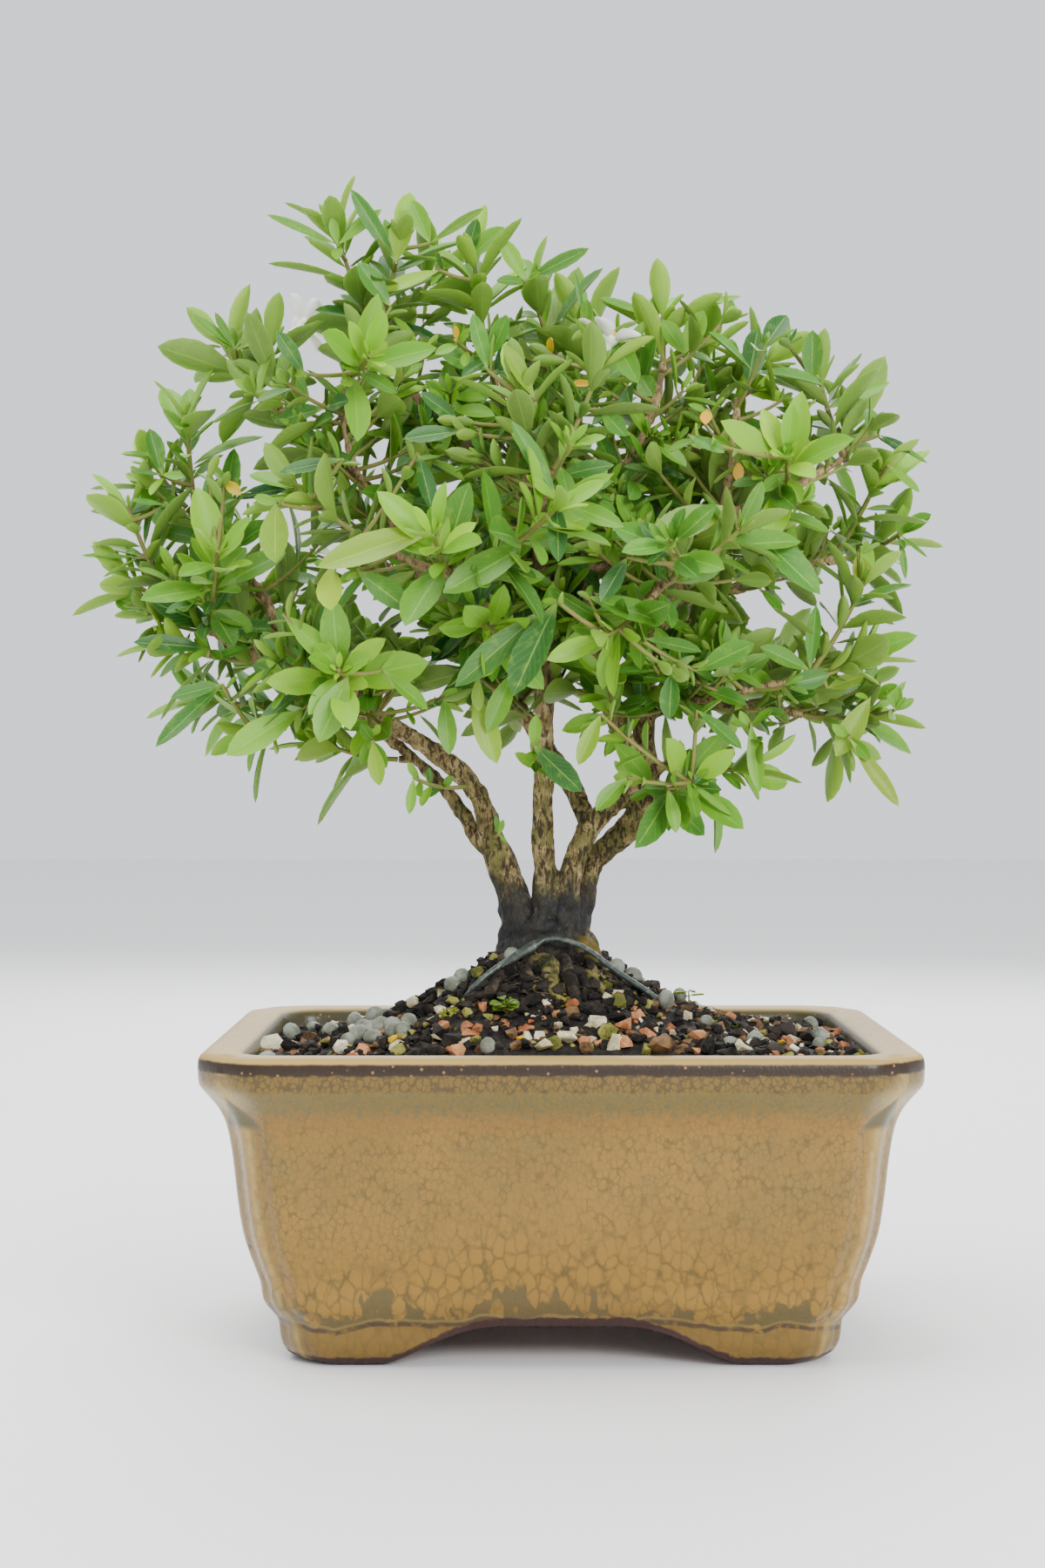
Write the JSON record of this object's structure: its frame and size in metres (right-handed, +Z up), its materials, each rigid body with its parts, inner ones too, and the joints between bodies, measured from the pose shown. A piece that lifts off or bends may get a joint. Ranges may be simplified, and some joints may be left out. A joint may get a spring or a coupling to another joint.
{
  "type": "bonsai tree",
  "caption": "Small clump-style serissa bonsai with fine leafy shoots, growing from mounded soil in a rectangular glazed pot with cut corners and scalloped feet.",
  "frame": {"origin": "bottom centre of the whole object's box, on the surface that the pot's feet stand on", "axes": "+Z up, +X to the right along the pot's long side seen from the front, -Y towards the front"},
  "size_m": [0.1966, 0.1376, 0.2578],
  "materials": {
    "glaze": "gloss",
    "soil": "matte",
    "bark": "matte",
    "leaf": "satin",
    "petal": "matte",
    "wire": "satin",
    "mesh": "matte"
  },
  "bodies": {
    "root": {"pot": "glaze", "soil": "soil", "trunks_and_branches": "bark", "tie_wire": "wire", "drainage_mesh_left": "mesh", "drainage_mesh_right": "mesh", "flower": "petal", "leafy_shoot_01": "leaf", "leafy_shoot_02": "leaf", "leafy_shoot_03": "leaf", "leafy_shoot_04": "leaf", "leafy_shoot_05": "leaf", "leafy_shoot_06": "leaf", "leafy_shoot_07": "leaf", "leafy_shoot_08": "leaf", "leafy_shoot_09": "leaf", "leafy_shoot_10": "leaf", "leafy_shoot_11": "leaf", "leafy_shoot_12": "leaf", "leafy_shoot_13": "leaf", "leafy_shoot_14": "leaf", "leafy_shoot_15": "leaf", "leafy_shoot_16": "leaf", "leafy_shoot_17": "leaf", "leafy_shoot_18": "leaf", "leafy_shoot_19": "leaf", "leafy_shoot_20": "leaf", "leafy_shoot_21": "leaf", "leafy_shoot_22": "leaf", "leafy_shoot_23": "leaf", "leafy_shoot_24": "leaf", "leafy_shoot_25": "leaf", "leafy_shoot_26": "leaf", "leafy_shoot_27": "leaf", "leafy_shoot_28": "leaf", "leafy_shoot_29": "leaf", "leafy_shoot_30": "leaf", "leafy_shoot_31": "leaf", "leafy_shoot_32": "leaf", "leafy_shoot_33": "leaf", "leafy_shoot_34": "leaf", "leafy_shoot_35": "leaf", "leafy_shoot_36": "leaf", "leafy_shoot_37": "leaf", "leafy_shoot_38": "leaf", "leafy_shoot_39": "leaf", "leafy_shoot_40": "leaf", "leafy_shoot_41": "leaf", "leafy_shoot_42": "leaf", "leafy_shoot_43": "leaf", "leafy_shoot_44": "leaf", "leafy_shoot_45": "leaf", "leafy_shoot_46": "leaf", "leafy_shoot_47": "leaf", "leafy_shoot_48": "leaf", "leafy_shoot_49": "leaf", "leafy_shoot_50": "leaf", "leafy_shoot_51": "leaf", "leafy_shoot_52": "leaf", "leafy_shoot_53": "leaf"}
  },
  "joints": []
}
